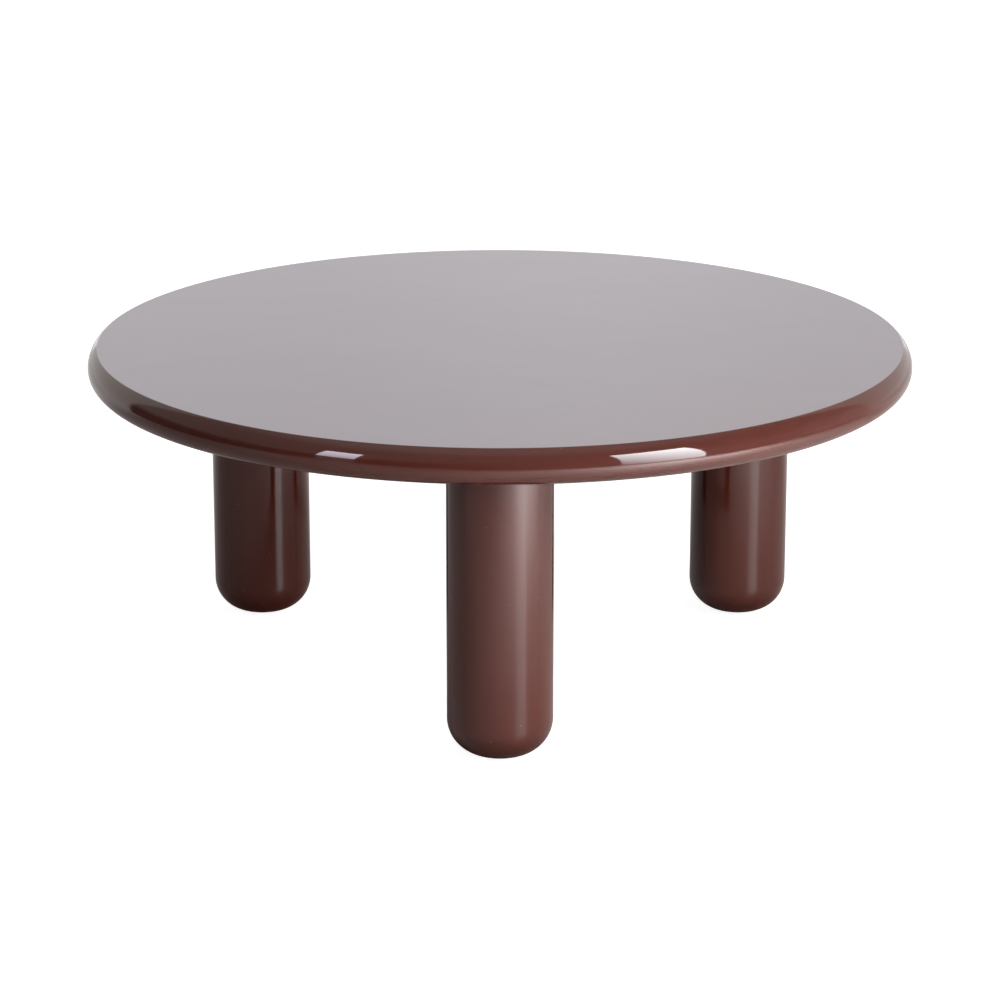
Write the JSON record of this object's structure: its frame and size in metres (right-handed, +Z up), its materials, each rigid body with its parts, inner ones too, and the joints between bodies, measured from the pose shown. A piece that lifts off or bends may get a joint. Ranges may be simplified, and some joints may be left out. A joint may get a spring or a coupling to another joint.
{
  "type": "round cocktail table",
  "caption": "Low round table with a thick round-edged top on stout straight round legs with rounded feet and adjustable glides, in high-gloss burgundy-brown lacquer.",
  "frame": {"origin": "on the floor, on the axis of the round top", "axes": "+Z up; the front leg stands towards -Y; +X to the right seen from the front"},
  "size_m": [1.0667, 1.0668, 0.4318],
  "materials": {
    "lacquered_board": "polished high-gloss burgundy-brown lacquer over fibreboard",
    "bare_hardwood": "bare sanded beech",
    "zinc_steel": "bright zinc plating",
    "glide_plastic": "moulded black nylon"
  },
  "bodies": {
    "table": {"top_upper_board": "lacquered_board", "top_lower_board": "lacquered_board", "front_leg": "lacquered_board", "front_leg_head_block": "bare_hardwood", "front_leg_plate": "zinc_steel", "front_plate_screws": "zinc_steel", "front_hanger_bolt": "zinc_steel", "front_glide_insert": "zinc_steel", "right_leg": "lacquered_board", "right_leg_head_block": "bare_hardwood", "right_leg_plate": "zinc_steel", "right_plate_screws": "zinc_steel", "right_hanger_bolt": "zinc_steel", "right_glide_insert": "zinc_steel", "left_leg": "lacquered_board", "left_leg_head_block": "bare_hardwood", "left_leg_plate": "zinc_steel", "left_plate_screws": "zinc_steel", "left_hanger_bolt": "zinc_steel", "left_glide_insert": "zinc_steel"},
    "front_glide": {"front_glide_base": "glide_plastic"},
    "front_glide_screw": {"front_glide_stem": "zinc_steel"},
    "right_glide": {"right_glide_base": "glide_plastic"},
    "right_glide_screw": {"right_glide_stem": "zinc_steel"},
    "left_glide": {"left_glide_base": "glide_plastic"},
    "left_glide_screw": {"left_glide_stem": "zinc_steel"}
  },
  "joints": [
    {"name": "front_glide_height", "type": "slide", "parent": "table", "child": "front_glide", "axis": [0, 0, -1], "range_m": [0, 0.0081]},
    {"name": "front_glide_turn", "type": "hinge", "parent": "front_glide", "child": "front_glide_screw", "pos_m": [0, -0.377, 0], "axis": [0, 0, 1], "range_deg": [0, 2304]},
    {"name": "right_glide_height", "type": "slide", "parent": "table", "child": "right_glide", "axis": [0, 0, -1], "range_m": [0, 0.0081]},
    {"name": "right_glide_turn", "type": "hinge", "parent": "right_glide", "child": "right_glide_screw", "pos_m": [0.32649, 0.1885, 0], "axis": [0, 0, 1], "range_deg": [0, 2304]},
    {"name": "left_glide_height", "type": "slide", "parent": "table", "child": "left_glide", "axis": [0, 0, -1], "range_m": [0, 0.0081]},
    {"name": "left_glide_turn", "type": "hinge", "parent": "left_glide", "child": "left_glide_screw", "pos_m": [-0.32649, 0.1885, 0], "axis": [0, 0, 1], "range_deg": [0, 2304]}
  ],
  "couplings": [
    {"joint": "front_glide_height", "follows": "front_glide_turn", "m_per_rad": 0.00019894},
    {"joint": "right_glide_height", "follows": "right_glide_turn", "m_per_rad": 0.00019894},
    {"joint": "left_glide_height", "follows": "left_glide_turn", "m_per_rad": 0.00019894}
  ]
}
